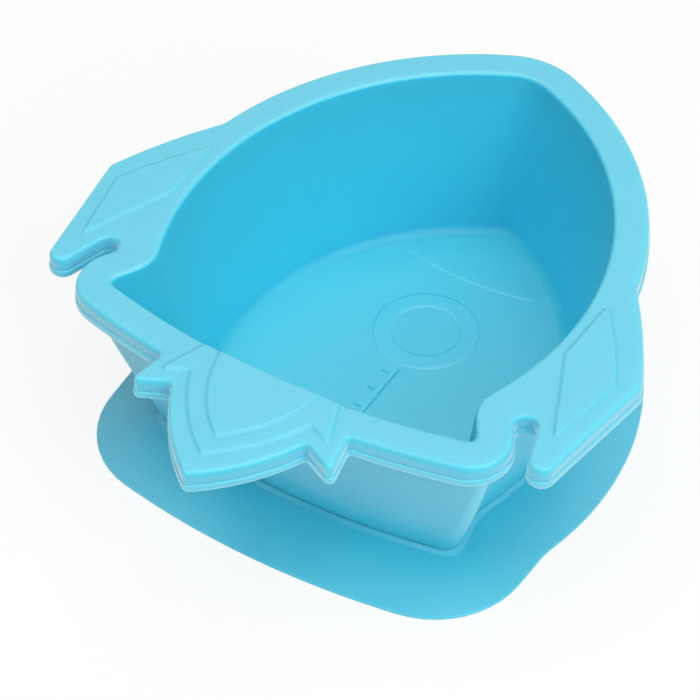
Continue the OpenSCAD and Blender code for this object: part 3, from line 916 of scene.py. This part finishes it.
def nose_cap():
    """The raised nose of the floor: a soft step that fades at its ends and falls back towards the nose."""
    cup, relief = sizes("cup", "relief")
    middle = xy(0, relief.cap_place + relief.cap_radius)
    profile = [(relief.step_width * t, eased(t)) for t in shares(STEP_RINGS)]
    profile += [(relief.step_width + relief.cap_length * t, 1 - eased(t)) for t in shares(FALL_RINGS)[1:]]
    fades = [smooth(clamped(min(t, 1 - t) / CAP_FADE)) for t in shares(CAP_STEPS)]
    lines = []
    for inwards, up in profile:
        spread = asin((relief.cap_half - CAP_NARROWING * inwards) / relief.cap_radius)
        points = arc(middle, relief.cap_radius - inwards, -pi / 2 - spread, -pi / 2 + spread, CAP_STEPS)
        lines.append(placed(points, [cup.floor_height + relief.cap_height * up * fade for fade in fades]))
    return floor_finish(skin("nose cap", lines, closed=False))


def level_scale():
    """The engraved line and the marks beside it."""
    relief = sizes("relief")

    def bar(x0, x1, y0, y1):
        return groove([xy(x0, y0), xy(x1, y0), xy(x1, y1), xy(x0, y1)])

    half = relief.mark_width / 2
    left, right = relief.scale_aside - half, relief.scale_aside + half
    low, high = relief.scale_front - relief.scale_length, relief.scale_front
    bars = [bar(left, right, low, high)]
    end = left - relief.tick_gap
    y = high - relief.first_tick
    while y > low + relief.mark_width:
        bars.append(bar(end - relief.tick_length, end, y - half, y + half))
        y -= relief.tick_step
    return bars


class SUCTIONBOWL_OT_bowl(bpy.types.Operator):
    """Mould the bowl: cup, rim, fins, flame and floor marks in one skin"""
    bl_idname = "suctionbowl.bowl"
    bl_label = "Bowl"

    def execute(self, context):
        cup, rim, relief, look = sizes("cup", "rim", "relief", "silicone")
        rises = flame_rises()
        outline, fin_corner, fin_tip = rim_outline()
        pieces = [cup_skin(rises), wall_skin(), rim_edge_skin(outline)]
        pieces += [panel_skin(side, fin_corner, fin_tip) for side in (1, -1)]
        for rise in rises:
            step = skin("rise", [placed(points, height) for points, height in rise.lines], closed=False)
            pieces.append(step_finish(step, rise.low, rise.high))
        pieces += [window_ring(), nose_cap(), *level_scale()]
        bowl = joined("bowl_moulding", pieces)
        top, floor = cup.rim_height, cup.floor_height
        for height in (top, *(rise.high for rise in rises), top + relief.panel_height,
                       top - rim.thickness, floor, floor - relief.mark_depth, BOWL_LOW.z):
            fill_level(bowl, height)
        finish_skin(bowl)
        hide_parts("bowl_shell")
        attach(bowl, "bowl")
        clad(bowl, silicone("moulded silicone, bowl", look.bowl, look.bowl_deep, look.bowl_depth))
        return {"FINISHED"}


class SUCTIONBOWL_OT_base(bpy.types.Operator):
    """Mould the suction base: dome, sealing land, thin edge, slope and soft bead in one skin"""
    bl_idname = "suctionbowl.base"
    bl_label = "Suction base"

    def execute(self, context):
        base, look = sizes("base", "silicone")
        seat = BOWL_LOW.z - base.bond
        dome = seat - base.web
        low, high = base.edge, seat + base.slope_rise
        rings = []
        for t in reversed(shares(DOME_RINGS)):
            rings.append(placed(base_outline(base.land + base.dome_slope * t), dome * sin(pi / 2 * t)))
        for t in shares(EDGE_RINGS):
            rings.append(placed(base_outline(base.edge_round * (1 - sin(pi * t))), base.edge * eased(t)))
        edge, foot = base_outline(base.edge_round), wall_outline(high, base.bead_reach)
        for t in shares(SLOPE_RINGS)[1:]:
            points = [a.lerp(b, t) for a, b in zip(edge, foot)]
            rings.append(placed(points, low + (high - low) * sin(pi / 2 * t)))
        width = base.bead_reach + base.bead_bite
        bead = [(base.bead_reach - width * t, high + base.bead_height * eased(t))
                for t in shares(BEAD_RINGS)[1:]]
        rings += [placed(wall_outline(z, out), z) for out, z in [*bead, (-base.bead_bite, seat)]]
        pad = skin("suction_pad", rings)
        # Painted shade: the bloom is full at the thin edge and fades to none at the bead, darkening the base
        # beside the bowl.
        note(pad, matt=lambda z: look.base_matt * clamped((high - z) / (high - low)),
             dull=lambda z: look.floor_dull)
        edit_edges()
        fill_level(pad, seat)
        fill_level(pad, dome)
        finish_skin(pad)
        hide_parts("suction_base")
        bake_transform(pad)
        clad(pad, silicone("moulded silicone, base", look.base, look.base_deep, look.base_depth))
        return {"FINISHED"}


class SUCTIONBOWL_OT_bond(bpy.types.Operator):
    """Give the bond film between bowl and base its clear cured finish"""
    bl_idname = "suctionbowl.bond"
    bl_label = "Bond film"

    def execute(self, context):
        clad(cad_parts["bond_film"], adhesive())
        return {"FINISHED"}


def add_node(tree, kind, inputs=None, **settings):
    """Adds a node with its settings and gives its outputs. An input is a value or another node's output."""
    made = tree.nodes.new("ShaderNode" + kind)
    for name, value in settings.items():
        setattr(made, name, value)
    for name, value in (inputs or {}).items():
        if isinstance(value, bpy.types.NodeSocket):
            tree.links.new(value, made.inputs[name])
        else:
            made.inputs[name].default_value = value
    return made.outputs


def empty_material(name):
    """A material with an empty node tree."""
    material = bpy.data.materials.new(name)
    material.use_nodes = True
    material.node_tree.nodes.clear()
    return material


def silicone(name, light, deep, depth):
    """Moulded silicone rubber: a matt skin with the fine grain of a spark-eroded mould, light that
    spreads a few millimetres under the surface, and faint clouds where the pigment was mixed in.
    The attribute matt adds a pale bloom and the attribute dull takes shine away; in places both are painted
    light and shade: a lighter upper rim edge, a darker foot of the wall and a darker base beside the bowl."""
    look = sizes("silicone")
    material = empty_material(name)
    tree = material.node_tree
    place = add_node(tree, "TexCoord")["Object"]
    clouds = add_node(tree, "TexNoise", {"Vector": place, "Scale": 1 / look.mottle, "Detail": 2.0})
    tint = add_node(tree, "Mix", {
        "Factor": clouds["Fac"], MIX_A: (*deep, 1), MIX_B: (*light, 1)}, data_type="RGBA")
    rough = add_node(tree, "MapRange", {"Value": clouds["Fac"], "To Min": 0.5, "To Max": 0.58})
    # The grain is drawn coarser than a mould's real one, so that it shows.
    grain = add_node(tree, "TexNoise", {"Vector": place, "Scale": 1 / look.grain, "Detail": 3.0})
    bump = add_node(tree, "Bump", {"Height": grain["Fac"], "Strength": 0.12, "Distance": 0.05 * MM})
    matt = add_node(tree, "Attribute", attribute_name="matt")
    bloom = add_node(tree, "MapRange", {"Value": matt["Fac"], "To Min": 0.02, "To Max": 1.0})
    dull = add_node(tree, "Attribute", attribute_name="dull")
    shine = add_node(tree, "MapRange", {"Value": dull["Fac"], "To Min": 1.0, "To Max": 0.33})
    rubber = add_node(tree, "BsdfPrincipled", {
        "Base Color": tint[MIXED], "Normal": bump["Normal"], "Roughness": rough["Result"],
        "IOR": 1.6, "Specular IOR Level": shine["Result"],
        "Subsurface Weight": 1.0, "Subsurface Radius": (0.7, 1.0, 1.0), "Subsurface Scale": depth,
        "Sheen Weight": bloom["Result"], "Sheen Roughness": 0.5})
    add_node(tree, "OutputMaterial", {"Surface": rubber["BSDF"]})
    return material


def adhesive():
    """Cured clear silicone adhesive: milky and soft, with an uneven skin where it was pressed out."""
    streak = 4 * MM
    milky, clear = to_linear("#CFE3E8"), to_linear("#E2EFF2")
    material = empty_material("cured silicone adhesive, pressed")
    tree = material.node_tree
    place = add_node(tree, "TexCoord")["Object"]
    streaks = add_node(tree, "TexNoise", {"Vector": place, "Scale": 1 / streak, "Detail": 2.0})
    tint = add_node(tree, "Mix", {
        "Factor": streaks["Fac"], MIX_A: (*milky, 1), MIX_B: (*clear, 1)}, data_type="RGBA")
    bump = add_node(tree, "Bump", {"Height": streaks["Fac"], "Strength": 0.2, "Distance": 0.05 * MM})
    film = add_node(tree, "BsdfPrincipled", {
        "Base Color": tint[MIXED], "Normal": bump["Normal"], "Roughness": 0.35, "IOR": 1.41})
    add_node(tree, "OutputMaterial", {"Surface": film["BSDF"]})
    return material


def seen(tree):
    """1 for rays from the camera and for mirrored ones, 0 for the rays that light the scene."""
    path = add_node(tree, "LightPath")
    return add_node(tree, "Math", {0: path["Is Camera Ray"], 1: path["Is Glossy Ray"]},
                    operation="MAXIMUM")[0]


def white_table():
    """Matt white laminate: pure white to the camera but for the bowl's faint shadow."""
    grey, glow_share = (0.94, 0.94, 0.94, 1), 0.85
    material = empty_material("white laminate, matt")
    tree = material.node_tree
    paint = add_node(tree, "BsdfDiffuse", {"Color": grey})
    glow = add_node(tree, "Emission", {"Color": WHITE, "Strength": 1.0})
    part = add_node(tree, "Math", {0: seen(tree), 1: glow_share}, operation="MULTIPLY")
    mix = add_node(tree, "MixShader", {0: part[0], 1: paint[0], 2: glow[0]})
    add_node(tree, "OutputMaterial", {"Surface": mix[0]})
    return material


def studio(strength):
    """A white room that lights the scene only faintly."""
    world = bpy.data.worlds.new("studio")
    world.use_nodes = True
    tree = world.node_tree
    tree.nodes.clear()
    fill = add_node(tree, "Background", {"Color": WHITE, "Strength": strength})
    white = add_node(tree, "Background", {"Color": WHITE, "Strength": 1.0})
    mix = add_node(tree, "MixShader", {0: seen(tree), 1: fill[0], 2: white[0]})
    add_node(tree, "OutputWorld", {"Surface": mix[0]})
    return world


def facing(direction):
    """The turn of a light or a camera that looks in a direction."""
    return direction.to_track_quat("-Z", "Y").to_euler()


class SUCTIONBOWL_OT_stage(bpy.types.Operator):
    """Set up the white table, the studio light and the camera"""
    bl_idname = "suctionbowl.stage"
    bl_label = "Stage"

    def execute(self, context):
        scene, look = context.scene, sizes("stage")
        bpy.ops.object.select_all(action="DESELECT")
        bpy.ops.mesh.primitive_plane_add(size=TABLE_WIDTH, location=(0, 0, -TABLE_DROP))
        table = context.object
        table.name = "table"
        table.data.materials.append(white_table())
        scene.world = studio(look.fill)
        for key, (place, width) in SOFTBOXES.items():
            bpy.ops.object.light_add(type="AREA", location=place, rotation=facing(-Vector(place)))
            context.object.name = key.replace("_", " ") + " softbox"
            context.object.data.size = width
            context.object.data.energy = getattr(look, key)
        level = at(look.azimuth - pi / 2) * cos(look.elevation)
        back = Vector((level.x, level.y, sin(look.elevation)))
        place = Vector((look.look_x, look.look_y, 0)) + back * look.distance
        bpy.ops.object.camera_add(location=place, rotation=facing(-back))
        scene.camera = context.object
        scene.camera.data.lens = look.lens
        scene.view_settings.view_transform = "Standard"
        return {"FINISHED"}


class SUCTIONBOWL_PT_sidebar(bpy.types.Panel):
    """Sizes, colours and steps of the suction bowl"""
    bl_idname = "SUCTIONBOWL_PT_sidebar"
    bl_label = "Suction bowl"
    bl_space_type = "VIEW_3D"
    bl_region_type = "UI"
    bl_category = "Suction bowl"

    def draw(self, context):
        for name in STEPS:
            self.layout.operator(name)
        for name, kind in GROUPS.items():
            box = self.layout.box()
            box.label(text=kind.__doc__)
            for key in kind.__annotations__:
                box.prop(sizes(name), key)


GROUPS = {"cup": CupSizes, "rim": RimSizes, "relief": ReliefSizes, "base": BaseSizes,
          "silicone": SiliconeLook, "stage": StageLook}
OPERATORS = (SUCTIONBOWL_OT_stage, SUCTIONBOWL_OT_base, SUCTIONBOWL_OT_bond, SUCTIONBOWL_OT_bowl)
STEPS = [operator.bl_idname for operator in OPERATORS]


def register():
    """Registers the classes and gives the scene its groups of sizes."""
    for kind in (*GROUPS.values(), *OPERATORS, SUCTIONBOWL_PT_sidebar):
        bpy.utils.register_class(kind)
    for name, kind in GROUPS.items():
        setattr(bpy.types.Scene, PREFIX + name, PointerProperty(type=kind))


def unregister():
    """Takes back what register did."""
    for name in GROUPS:
        delattr(bpy.types.Scene, PREFIX + name)
    for kind in (SUCTIONBOWL_PT_sidebar, *reversed(OPERATORS), *reversed(GROUPS.values())):
        bpy.utils.unregister_class(kind)


def main():
    """Registers the add-on and runs its steps in order."""
    register()
    for step in STEPS:
        group, name = step.split(".")
        getattr(getattr(bpy.ops, group), name)()


if __name__ == "__main__":
    main()
